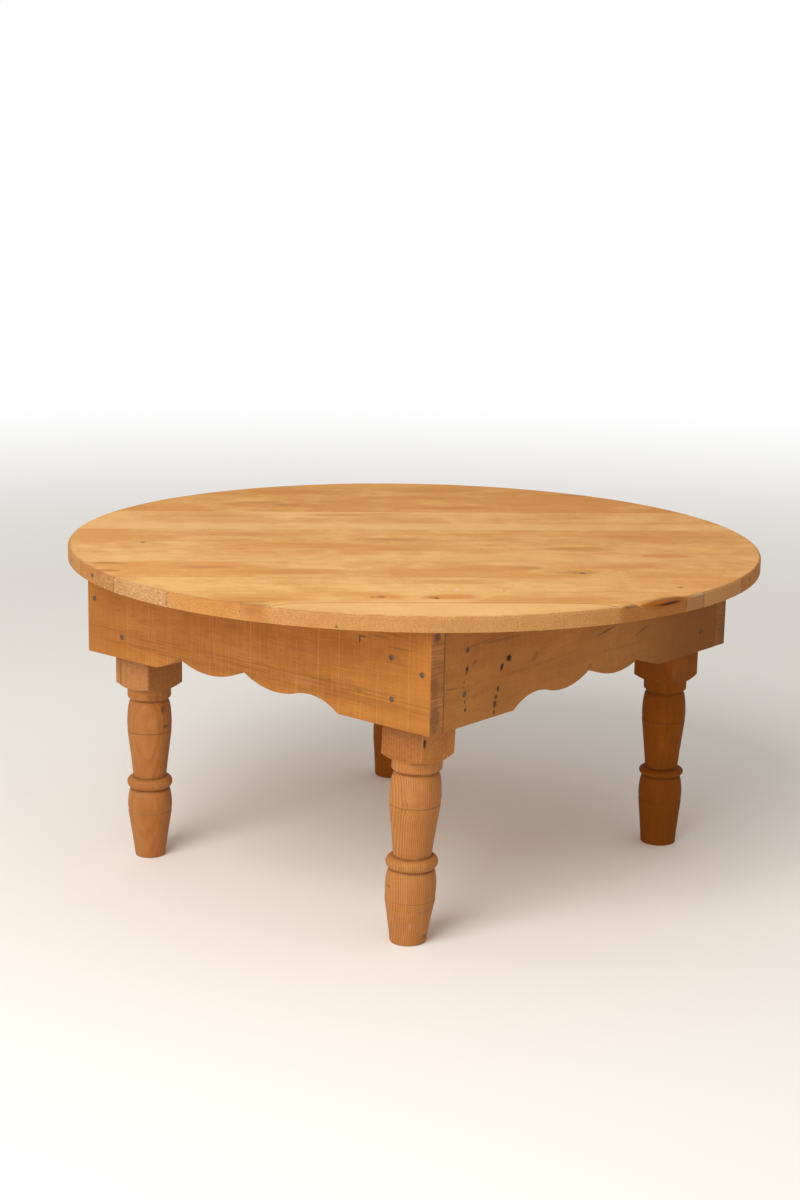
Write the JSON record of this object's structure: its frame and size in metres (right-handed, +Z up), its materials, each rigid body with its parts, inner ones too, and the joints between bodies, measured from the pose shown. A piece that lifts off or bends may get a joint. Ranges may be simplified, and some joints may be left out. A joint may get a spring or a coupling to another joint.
{
  "type": "tea table",
  "caption": "Low round tea table: a boarded wooden top on a square frame of scalloped boards, carried by turned legs with square blocks.",
  "frame": {"origin": "on the floor under the middle of the table", "axes": "+Z up; X along the two frame boards that run their full length past the ends of the other two, Y along the other two; the boards of the top run at 45 degrees between +X and +Y"},
  "size_m": [0.854, 0.854, 0.405],
  "materials": {
    "top_wood": "sanded pale honey softwood boards with knots, satin oil finish",
    "frame_wood": "sawn and planed orange-brown softwood boards, bare",
    "leg_wood": "turned softwood with fine straight grain, satin",
    "nail_steel": "dull grey wire nails, some rust round the heads"
  },
  "bodies": {
    "root": {"top_board_1": "top_wood", "top_board_2": "top_wood", "top_board_3": "top_wood", "top_board_4": "top_wood", "top_board_5": "top_wood", "top_board_6": "top_wood", "top_board_7": "top_wood", "top_board_8": "top_wood", "top_board_9": "top_wood", "frame_board_front": "frame_wood", "frame_board_back": "frame_wood", "frame_board_left": "frame_wood", "frame_board_right": "frame_wood", "leg_front_left": "leg_wood", "leg_front_right": "leg_wood", "leg_back_left": "leg_wood", "leg_back_right": "leg_wood", "nail_front_left_1": "nail_steel", "nail_front_left_end": "nail_steel", "nail_front_right_1": "nail_steel", "nail_front_right_2": "nail_steel", "nail_front_right_end": "nail_steel", "nail_back_left_1": "nail_steel", "nail_back_left_2": "nail_steel", "nail_back_left_end": "nail_steel", "nail_back_right_1": "nail_steel", "nail_back_right_2": "nail_steel", "nail_back_right_end": "nail_steel", "nail_left_back_1": "nail_steel", "nail_left_back_2": "nail_steel", "nail_left_front_1": "nail_steel", "nail_left_front_2": "nail_steel", "nail_right_back_1": "nail_steel", "nail_right_front_1": "nail_steel", "nail_right_front_2": "nail_steel", "nail_rim": "nail_steel", "nail_top_back_3": "nail_steel", "nail_top_front_8": "nail_steel", "nail_top_front_left": "nail_steel", "nail_top_front_right": "nail_steel", "nail_top_left_2": "nail_steel", "nail_top_right_5": "nail_steel", "nail_top_right_6": "nail_steel", "nail_top_right_7": "nail_steel"}
  },
  "joints": []
}
